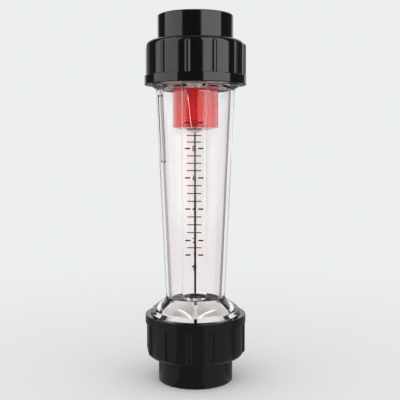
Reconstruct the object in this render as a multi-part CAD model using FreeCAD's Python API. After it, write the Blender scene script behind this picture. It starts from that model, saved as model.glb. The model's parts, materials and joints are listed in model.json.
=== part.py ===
"""Variable-area flow meter for 63 mm plastic pipe, built as its maker would assemble it.

A clear tapered metering tube stands between two union joints. Each union is a pipe socket
(tailpiece) with a flange, an O-ring in the flange's face, and a nut that pulls the flange
against the tube's threaded neck. Inside the tube a float slides on a guide rod, which a
four-armed support carries at each end. Millimetres; +Z points along the flow, and the
origin is the centre of the lower socket's end face. The scale flat faces -Y.
"""
import math
import os

import FreeCAD
import Part

# ---- pipe sockets (tailpieces) -----------------------------------------------------------
PIPE_RADIUS = 31.5          # 63 mm pipe
PIPE_CLEARANCE = 0.1        # radial gap for solvent cement
SOCKET_WALL = 5.9
SOCKET_DEPTH = 34.0
MOUTH_CHAMFER = 1.5
SOCKET_EDGE = 0.8           # chamfer on the outer end edge
PIPE_STOP = 4.0             # how far the ledge that stops the pipe stands in
TAIL_LENGTH = 41.0          # socket end to sealing face
FLANGE_THICKNESS = 7.7
FLANGE_STEP = 1.4           # flange edge below the thread of the tube's neck
FLANGE_EDGE = 0.6
SOCKET_ROOT_FILLET = 0.4

# ---- O-ring ------------------------------------------------------------------------------
CORD_DIAMETER = 3.5
CORD_SQUASHED = 3.0         # height of the cord once the joint is tight
CORD_INSET = 3.6            # flange's edge to the cord's centre
GROOVE_SIDE_PLAY = 0.4
SEAL_GAP = 0.1              # ring to the tube's end face

# ---- union nuts --------------------------------------------------------------------------
NUT_HEAD = 8.0              # wall that bears on the flange
NUT_SLIP = 0.7              # head's hole round the socket
BEARING_GAP = 0.3
NUT_REACH = 26.7            # how far the rim passes the tube's end face
NUT_WALL = 4.1
NUT_SHOULDER_RADIUS = 5.5
NUT_MOUTH_CHAMFER = 1.2
NUT_HOLE_CHAMFER = 0.6
COLLAR_LENGTH = 9.0
COLLAR_HEIGHT = 2.1
COLLAR_EDGE = 0.8
RIB_COUNT = 12
RIB_WIDTH = 5.6
RIB_HEIGHT = 1.6
RIB_INSET = 6.0             # rib's round end from the nut's face
LOWER_NUT_CLOCK = -5.2      # degrees a rib stands past the scale flat
UPPER_NUT_CLOCK = -6.7
THREAD_PITCH = 4.0
THREAD_TURNS = 5.0          # turns from tight to free
THREAD_GAP = 0.3            # neck to nut bore, both drawn as plain cylinders

# ---- metering tube -----------------------------------------------------------------------
JOINT_GAP = 0.3             # tube's end face to the flange
TUBE_LENGTH = 282.4
TUBE_WALL = 5.6
BORE_LOW_RADIUS = 23.9      # small end of the taper
BORE_HIGH_RADIUS = 34.0     # large end, at the upper support's ledge
FUNNEL_HEIGHT = 14.0        # lower support's ledge up to the small end
NECK_RADIUS = 44.2
LOWER_NECK = 31.5           # end face to shoulder edge
UPPER_NECK = 27.5
SHOULDER_SLOPE = 36.0       # degrees from level
SHOULDER_EDGE_RADIUS = 2.0
SHOULDER_ROOT_RADIUS = 4.0
NECK_CHAMFER = 1.2
FLAT_WIDTH = 22.9           # flat strip that carries the scale
FLAT_SINK = 0.3             # step down to the strip along its long edges
FLAT_MARGIN = 5.0           # flat's ends clear of the shoulders
PANEL_AZIMUTH = -60.2       # bare name panel, degrees from the scale flat
PANEL_WIDTH = 11.0
PANEL_LOW = 178.7           # above the tube's lower end face
PANEL_HEIGHT = 67.0
PANEL_DEPTH = 0.5
PANEL_CORNER = 1.2

# ---- rod supports ------------------------------------------------------------------------
SUPPORT_RADIUS = 35.5       # counterbore in the tube's end
SUPPORT_DEPTH = 24.7
SUPPORT_FIT = 0.1
SUPPORT_WALL = 2.5
SUPPORT_RECESS = 0.1        # sleeve's end below the tube's end face
HUB_DEPTH = 12.7            # tube's end face to the hub's inner face
HUB_RADIUS = 6.5
HUB_HEIGHT = 6.0
ARM_COUNT = 4
ARM_WIDTH = 4.0
ARM_ROOT_HEIGHT = 12.0      # arm's height where it meets the sleeve
ARM_CLOCK = 45.0

# ---- guide rod and its fasteners ---------------------------------------------------------
ROD_RADIUS = 1.6
ROD_END_RADIUS = 1.25       # turned-down threaded ends
ROD_END_CHAMFER = 0.3
ROD_FIT = 0.05
WASHER_RADIUS = 3.0
WASHER_THICKNESS = 0.5
HEX_ACROSS_FLATS = 5.0
HEX_HEIGHT = 2.0
THREAD_STICKOUT = 1.0
BUFFER_RADIUS = 3.4
LOWER_BUFFER_LENGTH = 14.8  # holds the float at the scale's zero
UPPER_BUFFER_LENGTH = 8.3
BUFFER_EDGE = 0.5

# ---- float -------------------------------------------------------------------------------
FLOAT_RADIUS = 22.8
FLOAT_HEIGHT = 41.6         # rim to rim
FLOAT_WALL = 2.6
FLOAT_SLOPE = 15.0          # conical ends, degrees from level
FLOAT_EDGE = 0.4
SEAM_CHAMFER = 0.35
SLEEVE_WALL = 2.4
FLUTE_COUNT = 4
FLUTE_RADIUS = 1.6
FLUTE_DEPTH = 0.9
FLUTE_TWIST = 7.0           # degrees of lead over one half
LOWER_FLUTE_CLOCK = -15.8   # flute at the seam, degrees from the scale flat
UPPER_FLUTE_CLOCK = -16.8
WEIGHT_RADIUS = 16.0
WEIGHT_HEIGHT = 26.0
WEIGHT_PLAY = 0.4
BUSH_RADIUS = 4.0           # spigot pressed into the float's sleeve
BUSH_SPIGOT = 8.0
BUSH_FLANGE_RADIUS = 13.0   # flange let into the float's end, flush with its cone
BUSH_SEAT_DEPTH = 1.5
BUSH_TIP_RADIUS = 2.5
BUSH_FIT = 0.05
BUSH_RUNNING_GAP = 0.05
STOP_GAP = 0.3              # float to the upper buffer

# ---- places worked out from the sizes above ----------------------------------------------
socket_bore = PIPE_RADIUS + PIPE_CLEARANCE
socket_radius = socket_bore + SOCKET_WALL
flange_radius = NECK_RADIUS - FLANGE_STEP
cord_radius = flange_radius - CORD_INSET
bearing_level = TAIL_LENGTH - FLANGE_THICKNESS
tube_base = TAIL_LENGTH + JOINT_GAP
total_height = 2 * tube_base + TUBE_LENGTH
tube_top = tube_base + TUBE_LENGTH

nut_hole = socket_radius + NUT_SLIP
nut_bore = NECK_RADIUS + THREAD_GAP
nut_radius = nut_bore + NUT_WALL
collar_radius = nut_radius + COLLAR_HEIGHT
nut_seat = bearing_level - BEARING_GAP
nut_face = nut_seat - NUT_HEAD
nut_rim = tube_base + NUT_REACH

lower_ledge = tube_base + SUPPORT_DEPTH
upper_ledge = tube_top - SUPPORT_DEPTH
taper_base = lower_ledge + FUNNEL_HEIGHT
taper_rate = (BORE_HIGH_RADIUS - BORE_LOW_RADIUS) / (upper_ledge - taper_base)
lower_edge = tube_base + LOWER_NECK
upper_edge = tube_top - UPPER_NECK
shoulder_rise = math.tan(math.radians(SHOULDER_SLOPE))

hub_face = tube_base + HUB_DEPTH
rod_shoulder = hub_face
lower_buffer_face = hub_face + LOWER_BUFFER_LENGTH
upper_buffer_face = total_height - hub_face - UPPER_BUFFER_LENGTH
washer_face = hub_face - HUB_HEIGHT - WASHER_THICKNESS
hex_face = washer_face - HEX_HEIGHT
rod_tip = hex_face - THREAD_STICKOUT

half_height = FLOAT_HEIGHT / 2
sleeve_bore = BUSH_RADIUS + BUSH_FIT
sleeve_radius = sleeve_bore + SLEEVE_WALL
end_rate = math.tan(math.radians(FLOAT_SLOPE))
end_depth = (FLOAT_RADIUS - BUSH_TIP_RADIUS) * end_rate
float_top = upper_buffer_face - STOP_GAP - end_depth
float_base = float_top - FLOAT_HEIGHT
float_tip = float_base - end_depth
seam_level = float_base + half_height
bush_edge = float_base - (FLOAT_RADIUS - BUSH_FLANGE_RADIUS) * end_rate
bush_seat = bush_edge + BUSH_SEAT_DEPTH
float_floor = bush_seat + FLOAT_WALL

AXIS = FreeCAD.Vector(0, 0, 1)
ORIGIN = FreeCAD.Vector(0, 0, 0)


def outer_radius(level):
    """Outside of the tapered wall at a level."""
    return BORE_LOW_RADIUS + taper_rate * (level - taper_base) + TUBE_WALL


def shoulder_foot(edge, direction):
    """Level where the shoulder's cone, rising from its edge, meets the tapered wall."""
    reach = NECK_RADIUS - outer_radius(edge)
    return edge + direction * reach * shoulder_rise / (1 + direction * taper_rate * shoulder_rise)


def turned(*corners):
    """Solid of revolution from (radius, level[, corner radius]) points, in order."""
    points = [FreeCAD.Vector(corner[0], 0, corner[1]) for corner in corners]
    radii = [corner[2] if len(corner) > 2 else 0.0 for corner in corners]
    edges = []
    first = last = None
    for index, point in enumerate(points):
        start = finish = point
        if radii[index] > 0:
            back = (points[index - 1] - point).normalize()
            ahead = (points[(index + 1) % len(points)] - point).normalize()
            half_angle = back.getAngle(ahead) / 2
            tangent = radii[index] / math.tan(half_angle)
            start = point + back * tangent
            finish = point + ahead * tangent
            bisector = (back + ahead).normalize()
            middle = point + bisector * (radii[index] / math.sin(half_angle) - radii[index])
        if last is not None and last.distanceToPoint(start) > 1e-7:
            edges.append(Part.makeLine(last, start))
        if radii[index] > 0:
            edges.append(Part.Arc(start, middle, finish).toShape())
        first = start if first is None else first
        last = finish
    if last.distanceToPoint(first) > 1e-7:
        edges.append(Part.makeLine(last, first))
    face = Part.Face(Part.Wire(Part.__sortEdges__(edges)))
    return face.revolve(ORIGIN, AXIS, 360)


def cylinder(radius, height, base):
    return Part.makeCylinder(radius, height, FreeCAD.Vector(0, 0, base))


def around(shape, count, clock=0.0):
    """Copies of a shape spaced evenly round the axis."""
    copies = []
    for index in range(count):
        copy = shape.copy()
        copy.rotate(ORIGIN, AXIS, clock + index * 360.0 / count)
        copies.append(copy)
    return copies


def flipped(shape, height=total_height):
    """The same piece turned over, to serve at the other end."""
    copy = shape.copy()
    copy.rotate(ORIGIN, FreeCAD.Vector(1, 0, 0), 180)
    copy.translate(FreeCAD.Vector(0, 0, height))
    return copy


def extruded(outline, thickness):
    """Plate from (across, level) points in the XZ plane, centred on Y = 0."""
    points = [FreeCAD.Vector(across, -thickness / 2, level) for across, level in outline]
    face = Part.Face(Part.makePolygon(points + points[:1]))
    return face.extrude(FreeCAD.Vector(0, thickness, 0))


# ---- pieces ------------------------------------------------------------------------------
def make_tailpiece():
    """Pipe socket with the flange that the nut pulls up, and the O-ring's groove."""
    throat = socket_bore - PIPE_STOP
    body = turned(
        (socket_bore + MOUTH_CHAMFER, 0),
        (socket_radius - SOCKET_EDGE, 0),
        (socket_radius, SOCKET_EDGE),
        (socket_radius, bearing_level, SOCKET_ROOT_FILLET),
        (flange_radius - FLANGE_EDGE, bearing_level),
        (flange_radius, bearing_level + FLANGE_EDGE),
        (flange_radius, TAIL_LENGTH - FLANGE_EDGE),
        (flange_radius - FLANGE_EDGE, TAIL_LENGTH),
        (throat, TAIL_LENGTH),
        (throat, SOCKET_DEPTH),
        (socket_bore, SOCKET_DEPTH),
        (socket_bore, MOUTH_CHAMFER),
    )
    groove_half = CORD_DIAMETER / 2 + GROOVE_SIDE_PLAY
    groove_floor = tube_base - SEAL_GAP - CORD_SQUASHED
    groove = turned(
        (cord_radius - groove_half, groove_floor),
        (cord_radius + groove_half, groove_floor),
        (cord_radius + groove_half, TAIL_LENGTH + 1),
        (cord_radius - groove_half, TAIL_LENGTH + 1),
    )
    return body.cut(groove)


def make_o_ring():
    """Rubber cord ring, flattened top and bottom by the tight joint."""
    top = tube_base - SEAL_GAP
    base = top - CORD_SQUASHED
    half = CORD_DIAMETER / 2
    cheek = CORD_SQUASHED * 0.4
    return turned(
        (cord_radius - half, base, cheek),
        (cord_radius + half, base, cheek),
        (cord_radius + half, top, cheek),
        (cord_radius - half, top, cheek),
    )


def make_union_nut(clock):
    """Hand nut: round shoulder, half-round grip ribs and a plain collar at the rim."""
    collar_base = nut_rim - COLLAR_LENGTH
    body = turned(
        (nut_hole + NUT_HOLE_CHAMFER, nut_face),
        (nut_radius, nut_face, NUT_SHOULDER_RADIUS),
        (nut_radius, collar_base),
        (collar_radius, collar_base, COLLAR_EDGE),
        (collar_radius, nut_rim, COLLAR_EDGE),
        (nut_bore + NUT_MOUTH_CHAMFER, nut_rim),
        (nut_bore, nut_rim - NUT_MOUTH_CHAMFER),
        (nut_bore, nut_seat),
        (nut_hole, nut_seat),
        (nut_hole, nut_face + NUT_HOLE_CHAMFER),
    )
    bead = (RIB_WIDTH ** 2 / 4 + RIB_HEIGHT ** 2) / (2 * RIB_HEIGHT)
    centre = nut_radius + RIB_HEIGHT - bead
    low = nut_face + RIB_INSET
    spine = FreeCAD.Vector(0, -centre, low)
    rib = Part.makeCylinder(bead, collar_base + COLLAR_EDGE - low, spine)
    rib = rib.fuse(Part.makeSphere(bead, spine))
    ribs = around(rib, RIB_COUNT, clock)
    grip = ribs[0].multiFuse(ribs[1:]).cut(cylinder(nut_bore + NUT_WALL / 2, nut_rim, 0))
    return body.fuse(grip).removeSplitter()


def scale_flat_cutter():
    """Wedge outside the flat strip, which lies a small step below the round wall."""
    low = shoulder_foot(lower_edge, 1) + FLAT_MARGIN
    high = shoulder_foot(upper_edge, -1) - FLAT_MARGIN
    half = FLAT_WIDTH / 2
    depth_low = math.sqrt(outer_radius(low) ** 2 - half ** 2) - FLAT_SINK
    depth_high = math.sqrt(outer_radius(high) ** 2 - half ** 2) - FLAT_SINK
    outside = NECK_RADIUS + TUBE_WALL
    wedge = extruded([
        (depth_low, low),
        (outside, low - (outside - depth_low)),
        (outside, high + (outside - depth_high)),
        (depth_high, high),
    ], FLAT_WIDTH)
    wedge.rotate(ORIGIN, AXIS, -90)
    return wedge


def panel_cutter():
    """Shallow round-cornered recess that leaves a bare panel on the tapered wall."""
    low = tube_base + PANEL_LOW
    high = low + PANEL_HEIGHT
    block = Part.makeBox(2 * NECK_RADIUS, PANEL_WIDTH, PANEL_HEIGHT,
                         FreeCAD.Vector(0, -PANEL_WIDTH / 2, low))
    corners = [edge for edge in block.Edges
               if abs(edge.Vertexes[0].X - edge.Vertexes[1].X) > NECK_RADIUS]
    block = block.makeFillet(PANEL_CORNER, corners)
    core = turned(
        (0, low - 1),
        (outer_radius(low - 1) - PANEL_DEPTH, low - 1),
        (outer_radius(high + 1) - PANEL_DEPTH, high + 1),
        (0, high + 1),
    )
    block.rotate(ORIGIN, AXIS, PANEL_AZIMUTH - 90)
    return block.cut(core)


def make_metering_tube():
    """One clear moulding: threaded necks, sloped shoulders, tapered wall, scale flat."""
    lower_foot = shoulder_foot(lower_edge, 1)
    upper_foot = shoulder_foot(upper_edge, -1)
    tube = turned(
        (SUPPORT_RADIUS, tube_base),
        (NECK_RADIUS - NECK_CHAMFER, tube_base),
        (NECK_RADIUS, tube_base + NECK_CHAMFER),
        (NECK_RADIUS, lower_edge, SHOULDER_EDGE_RADIUS),
        (outer_radius(lower_foot), lower_foot, SHOULDER_ROOT_RADIUS),
        (outer_radius(upper_foot), upper_foot, SHOULDER_ROOT_RADIUS / 2),
        (NECK_RADIUS, upper_edge, SHOULDER_EDGE_RADIUS),
        (NECK_RADIUS, tube_top - NECK_CHAMFER),
        (NECK_RADIUS - NECK_CHAMFER, tube_top),
        (SUPPORT_RADIUS, tube_top),
        (SUPPORT_RADIUS, upper_ledge),
        (BORE_HIGH_RADIUS, upper_ledge),
        (BORE_LOW_RADIUS, taper_base, SHOULDER_ROOT_RADIUS),
        (BORE_HIGH_RADIUS, lower_ledge),
        (SUPPORT_RADIUS, lower_ledge),
    )
    return tube.cut(scale_flat_cutter()).cut(panel_cutter())


def make_rod_support():
    """White sleeve seated on the tube's ledge, with a hub on gusseted arms."""
    outside = SUPPORT_RADIUS - SUPPORT_FIT
    inside = outside - SUPPORT_WALL
    base = tube_base + SUPPORT_RECESS
    sleeve = turned((inside, base), (outside, base), (outside, lower_ledge),
                    (inside, lower_ledge))
    hub = cylinder(HUB_RADIUS, HUB_HEIGHT, hub_face - HUB_HEIGHT)
    reach = inside + SUPPORT_WALL / 2
    arm = extruded([
        (0, hub_face),
        (reach, hub_face),
        (reach, hub_face - ARM_ROOT_HEIGHT),
        (inside, hub_face - ARM_ROOT_HEIGHT),
        (HUB_RADIUS, hub_face - HUB_HEIGHT),
        (0, hub_face - HUB_HEIGHT),
    ], ARM_WIDTH)
    support = sleeve.multiFuse([hub] + around(arm, ARM_COUNT, ARM_CLOCK))
    hole = cylinder(ROD_END_RADIUS + ROD_FIT, HUB_HEIGHT + 2, hub_face - HUB_HEIGHT - 1)
    return support.cut(hole).removeSplitter()


def make_stop_buffer(length):
    """Soft sleeve on the rod, between the hub and the float that lands on it."""
    bore = ROD_RADIUS + ROD_FIT
    face = hub_face + length
    return turned((bore, hub_face), (BUFFER_RADIUS, hub_face),
                  (BUFFER_RADIUS, face, BUFFER_EDGE), (bore, face))


def make_guide_rod():
    """Straight rod whose ends are turned down, so its shoulders rest on the hubs."""
    top_shoulder = total_height - rod_shoulder
    top_tip = total_height - rod_tip
    return turned(
        (0, rod_tip),
        (ROD_END_RADIUS - ROD_END_CHAMFER, rod_tip),
        (ROD_END_RADIUS, rod_tip + ROD_END_CHAMFER),
        (ROD_END_RADIUS, rod_shoulder),
        (ROD_RADIUS, rod_shoulder),
        (ROD_RADIUS, top_shoulder),
        (ROD_END_RADIUS, top_shoulder),
        (ROD_END_RADIUS, top_tip - ROD_END_CHAMFER),
        (ROD_END_RADIUS - ROD_END_CHAMFER, top_tip),
        (0, top_tip),
    )


def make_rod_washer():
    bore = ROD_END_RADIUS + ROD_FIT
    return turned((bore, washer_face), (WASHER_RADIUS, washer_face),
                  (WASHER_RADIUS, washer_face + WASHER_THICKNESS),
                  (bore, washer_face + WASHER_THICKNESS))


def make_rod_nut():
    """Hexagon nut with its corners turned off at 30 degrees."""
    corner = HEX_ACROSS_FLATS / math.sqrt(3)
    points = [FreeCAD.Vector(corner * math.cos(math.radians(60 * side)),
                             corner * math.sin(math.radians(60 * side)), hex_face)
              for side in range(6)]
    blank = Part.Face(Part.makePolygon(points + points[:1])).extrude(AXIS * HEX_HEIGHT)
    flat_radius = HEX_ACROSS_FLATS / 2
    chamfer = (corner - flat_radius) * math.tan(math.radians(30))
    envelope = turned((0, hex_face), (flat_radius, hex_face), (corner, hex_face + chamfer),
                      (corner, hex_face + HEX_HEIGHT), (0, hex_face + HEX_HEIGHT))
    return blank.common(envelope).cut(cylinder(ROD_END_RADIUS + ROD_FIT, HEX_HEIGHT, hex_face))


def make_float_half(flute_clock):
    """Cup with a conical end, a central sleeve and slanted flutes that spin it in the flow."""
    cavity = FLOAT_RADIUS - FLOAT_WALL
    cup = turned(
        (sleeve_bore, bush_seat),
        (BUSH_FLANGE_RADIUS + BUSH_FIT, bush_seat),
        (BUSH_FLANGE_RADIUS + BUSH_FIT, bush_edge - BUSH_FIT * end_rate),
        (FLOAT_RADIUS, float_base, FLOAT_EDGE),
        (FLOAT_RADIUS, seam_level - SEAM_CHAMFER),
        (FLOAT_RADIUS - SEAM_CHAMFER, seam_level),
        (cavity, seam_level),
        (cavity, float_floor),
        (sleeve_radius, float_floor),
        (sleeve_radius, seam_level),
        (sleeve_bore, seam_level),
    )
    track = FLOAT_RADIUS + FLUTE_RADIUS - FLUTE_DEPTH
    ends = []
    for step in (-0.1, 1.1):
        turn = math.radians(-90 + FLUTE_TWIST * step)
        level = seam_level - half_height * step
        ends.append(FreeCAD.Vector(track * math.cos(turn), track * math.sin(turn), level))
    run = ends[1] - ends[0]
    flute = Part.makeCylinder(FLUTE_RADIUS, run.Length, ends[0], run)
    for cutter in around(flute, FLUTE_COUNT, flute_clock):
        cup = cup.cut(cutter)
    return cup


def make_float_weight():
    """Steel ring shut inside the float, round its sleeve."""
    inside = sleeve_radius + WEIGHT_PLAY
    top = float_floor + WEIGHT_HEIGHT
    return turned((inside, float_floor), (WEIGHT_RADIUS, float_floor), (WEIGHT_RADIUS, top),
                  (inside, top))


def make_float_bush():
    """Low-friction bush pressed into the float's end; its conical flange meets the buffer."""
    bore = ROD_RADIUS + BUSH_RUNNING_GAP
    spigot_end = bush_seat + BUSH_SPIGOT
    return turned(
        (bore, float_tip),
        (BUSH_TIP_RADIUS, float_tip),
        (BUSH_FLANGE_RADIUS, bush_edge),
        (BUSH_FLANGE_RADIUS, bush_seat),
        (BUSH_RADIUS, bush_seat),
        (BUSH_RADIUS, spigot_end),
        (bore, spigot_end),
    )


def build():
    """Every piece by name, in its place with the float at its upper stop."""
    float_span = float_base + float_top
    tailpiece = make_tailpiece()
    o_ring = make_o_ring()
    support = make_rod_support()
    washer = make_rod_washer()
    rod_nut = make_rod_nut()
    bush = make_float_bush()
    return {
        "metering_tube": make_metering_tube(),
        "lower_tailpiece": tailpiece,
        "upper_tailpiece": flipped(tailpiece),
        "lower_o_ring": o_ring,
        "upper_o_ring": flipped(o_ring),
        "lower_union_nut": make_union_nut(LOWER_NUT_CLOCK),
        "upper_union_nut": flipped(make_union_nut(180 - UPPER_NUT_CLOCK)),
        "lower_rod_support": support,
        "upper_rod_support": flipped(support),
        "lower_stop_buffer": make_stop_buffer(LOWER_BUFFER_LENGTH),
        "upper_stop_buffer": flipped(make_stop_buffer(UPPER_BUFFER_LENGTH)),
        "guide_rod": make_guide_rod(),
        "lower_rod_washer": washer,
        "upper_rod_washer": flipped(washer),
        "lower_rod_nut": rod_nut,
        "upper_rod_nut": flipped(rod_nut),
        "float_lower_half": make_float_half(LOWER_FLUTE_CLOCK),
        "float_upper_half": flipped(make_float_half(180 - UPPER_FLUTE_CLOCK), float_span),
        "float_weight": make_float_weight(),
        "float_lower_bush": bush,
        "float_upper_bush": flipped(bush, float_span),
    }


os.makedirs("parts", exist_ok=True)
for name, shape in build().items():
    shape.exportStep(os.path.join("parts", name + ".step"))
    box = shape.BoundBox
    print(f"{name}: {len(shape.Solids)} solid, {shape.Volume / 1000:.2f} cm3, "
          f"z {box.ZMin:.2f} to {box.ZMax:.2f}, valid {shape.isValid()}")
print(f"overall height {total_height:.1f} mm, float travel "
      f"{float_tip - lower_buffer_face - STOP_GAP:.1f} mm")
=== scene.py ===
# %% [markdown]
# # A clear flow meter between two pipe unions
# The meter is a tapered tube of clear acrylic. A red float rides up it on a steel rod, and the
# higher the flow, the higher the float. Black unions join the tube to the pipes.
# The frame gives every piece that carries load, in metres and in place. This file gives those
# pieces their finishes, and models again the ones whose surface is worth a closer look.

# %% Load the frame
import json
import math

import bpy
from mathutils import Matrix, Vector


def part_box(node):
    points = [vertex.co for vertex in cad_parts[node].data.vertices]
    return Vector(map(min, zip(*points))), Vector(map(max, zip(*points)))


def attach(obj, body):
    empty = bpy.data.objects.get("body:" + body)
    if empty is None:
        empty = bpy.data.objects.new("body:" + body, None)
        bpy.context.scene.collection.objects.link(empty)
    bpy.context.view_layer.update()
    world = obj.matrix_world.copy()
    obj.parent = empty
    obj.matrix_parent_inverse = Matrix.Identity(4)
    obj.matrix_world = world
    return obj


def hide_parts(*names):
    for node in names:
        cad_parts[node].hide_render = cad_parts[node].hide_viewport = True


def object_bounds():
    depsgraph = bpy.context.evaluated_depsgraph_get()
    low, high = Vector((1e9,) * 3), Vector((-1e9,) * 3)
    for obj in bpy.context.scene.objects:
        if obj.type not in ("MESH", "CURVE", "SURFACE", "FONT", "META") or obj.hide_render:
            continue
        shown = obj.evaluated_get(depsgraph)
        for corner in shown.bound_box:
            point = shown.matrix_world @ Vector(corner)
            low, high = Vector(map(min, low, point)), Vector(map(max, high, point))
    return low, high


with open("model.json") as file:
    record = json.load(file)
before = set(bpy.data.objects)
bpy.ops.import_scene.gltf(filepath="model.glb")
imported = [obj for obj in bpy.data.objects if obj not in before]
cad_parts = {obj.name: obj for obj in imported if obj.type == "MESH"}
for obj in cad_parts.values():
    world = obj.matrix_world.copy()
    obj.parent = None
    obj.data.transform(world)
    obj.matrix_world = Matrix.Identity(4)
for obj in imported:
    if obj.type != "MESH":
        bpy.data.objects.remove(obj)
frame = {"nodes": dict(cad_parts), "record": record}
cad_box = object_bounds()
MM = 0.001
print("pieces in the frame:", len(frame["nodes"]))

# %% [markdown]
# ## The camera
# The meter is looked at from a little above its middle, from about twice its own height away.
# A camera that close makes the far ends of the tube curve: the upper rims bow upwards and the
# lower rims bow downwards. The lens is given by the width that it takes in at that distance.

# %% Place the camera
overall_height = cad_box[1][2] - cad_box[0][2]
CAMERA_DISTANCE = 0.737     # metres
CAMERA_HEIGHT = 0.2375
CAMERA_ASIDE = 0.00456
CAMERA_TURN = 1.75          # degrees round the meter, to the right of the scale
CAMERA_TILT = 4.26          # degrees below level
LENS = 66.12                # millimetres, on a sensor 36 mm wide
camera_data = bpy.data.cameras.new("view_camera")
camera_data.lens = LENS
camera_data.sensor_width = 36.0
camera = bpy.data.objects.new("view_camera", camera_data)
bpy.context.scene.collection.objects.link(camera)
turn = Matrix.Rotation(math.radians(CAMERA_TURN), 4, "Z")
camera.location = turn @ Vector((CAMERA_ASIDE, -CAMERA_DISTANCE, CAMERA_HEIGHT))
camera.rotation_euler = (math.radians(90.0 - CAMERA_TILT), 0.0, math.radians(CAMERA_TURN))
bpy.context.scene.camera = camera
print("camera height over the meter's:", round(CAMERA_HEIGHT / overall_height, 2))

# %% [markdown]
# ## Colours and nodes
# A colour written as a hex value is meant for the screen. Blender adds up light, so the value
# is turned to linear first, always by the same function. A second helper adds one shader node
# with its settings and links, which keeps each material short enough to read at a glance. It
# takes a socket's name, or its number where a node has several of one name. So the two colours
# of a Mix node are 6 and 7.


# %% Helpers for materials
def linear(hex_colour):
    """Screen colour as hex to the linear values that the shaders use."""
    channels = []
    for place in (0, 2, 4):
        value = int(hex_colour[place:place + 2], 16) / 255.0
        channels.append(value / 12.92 if value <= 0.04045 else ((value + 0.055) / 1.055) ** 2.4)
    return (*channels, 1.0)


def add_node(tree, kind, sockets=None, **settings):
    """One node. A socket gets a value, a hex colour, an output, or a node's first live output."""
    node = tree.nodes.new("ShaderNode" + kind)
    for name, value in settings.items():
        setattr(node, name, value)
    for name, value in (sockets or {}).items():
        if isinstance(value, bpy.types.Node):
            value = next(output for output in value.outputs if output.enabled)
        if isinstance(value, bpy.types.NodeSocket):
            tree.links.new(value, node.inputs[name])
        else:
            node.inputs[name].default_value = linear(value) if isinstance(value, str) else value
    return node


def new_material(name):
    """Empty node material, and its tree."""
    material = bpy.data.materials.new(name)
    material.use_nodes = True
    material.node_tree.nodes.clear()
    return material, material.node_tree


print("pale grey as linear light:", [round(channel, 3) for channel in linear("e8e8e6")])

# %% [markdown]
# ## The studio
# Glossy black plastic shows nothing but what it reflects, so the room is designed as a set of
# reflections. Two tall soft panels stand to the left and right of the camera, and the room
# between them is dark. Matt surfaces and the inside of the clear tube are lit in another way,
# by an even white tent, so that a colour renders about as it is written. The world's shader
# tells them apart by the kind of ray that asks. Behind the meter hangs a pale sweep. The thick of
# the clear wall throws back what stands beside the sweep, which draws the grey and white lines
# along the tube's edges. The float inside has panels of its own, one of them behind a warm
# screen, and a small lamp that its flutes mirror.

# %% Sizes and strengths of the lights
BACKGROUND = "eceeef"
BEHIND_GLASS = "f8f5f4"             # the sweep seen straight through the clear tube
EDGE_GLASS = "fefcfb"               # the sweep as the thick of the tube's wall throws it back
ROOM_GREY = "4a4a4c"
GLASS_ROOM = ("b2adad", "938e8f")   # the room, thrown back the same way, left and right
DEEP_ROOM = "101011"                # and far above or below eye level
WHITE = "ffffff"
LEVEL_VIEW = 18.0                   # degrees up or down that count as eye level
TENT_LIGHT = 1.0                    # even light on matt surfaces
GLASS_TENT = 2.7                    # the same for what stands inside the clear tube
SWEEP_HALF_WIDTH = 37.0             # of the pale sweep, in degrees from straight behind
MIRRORED_SWEEP = 35.0               # as much of it as polished outer surfaces mirror
PANEL_RIGHT = (52.0, 32.5, 2.3)     # azimuth from the camera, half width in degrees, strength
PANEL_LEFT = (-70.0, 32.0, 1.55)
FLOAT_PANELS = ((71.0, 15.0, 2.2), (111.0, 25.0, 1.3), (-98.0, 42.0, 1.2))
WARM_PANEL = (39.0, 17.0, 1.9)      # one more for the float, behind a warm screen
WARM_SCREEN = "ffae9e"
PANEL_SPAN = (-4.0, 62.0)           # lowest and highest elevation of these panels
FLUTE_LAMP = (57.0, 22.0, 6.5)      # a small lamp that the flutes of the float mirror
FLUTE_LAMP_SPAN = (12.0, 26.0)
EDGE_SOFTNESS = 1.5                 # degrees over which the edge of a light fades
EDGE_CROSSINGS = 3.0                # surfaces that light kept by the near wall crosses at most
DEGREES = 180.0 / math.pi           # in one radian

world = bpy.data.worlds.new("studio")
bpy.context.scene.world = world
world.use_nodes = True
world.cycles.sampling_method = "NONE"   # every ray finds the light that its own kind should
studio = world.node_tree
studio.nodes.clear()
print("width of the sweep in degrees:", 2 * SWEEP_HALF_WIDTH)


# %% Helpers for directions and rays
def window(tree, angle, centre, half_width):
    """1 inside the band of angles, 0 outside, with a narrow soft edge."""
    off_centre = add_node(tree, "Math", {0: angle, 1: centre}, operation="SUBTRACT")
    away = add_node(tree, "Math", {0: off_centre}, operation="ABSOLUTE")
    inside = add_node(tree, "Math", {0: half_width + EDGE_SOFTNESS / 2, 1: away},
                      operation="SUBTRACT")
    return add_node(tree, "Math", {0: inside, 1: EDGE_SOFTNESS}, operation="DIVIDE",
                    use_clamp=True)


def azimuth_of(tree, place):
    """Degrees round from the camera's side, to the right."""
    axes = add_node(tree, "SeparateXYZ", {"Vector": place}).outputs
    to_camera = add_node(tree, "Math", {0: axes["Y"], 1: -1.0}, operation="MULTIPLY")
    bearing = add_node(tree, "Math", {0: axes["X"], 1: to_camera}, operation="ARCTAN2")
    return add_node(tree, "Math", {0: bearing, 1: DEGREES}, operation="MULTIPLY")


def on_sweep(tree, azimuth, half_width):
    """1 in front of the pale sweep, straight behind the meter, and 0 beside it."""
    either_way = add_node(tree, "Math", {0: azimuth}, operation="ABSOLUTE")
    return window(tree, either_way, 180.0, half_width)


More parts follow.
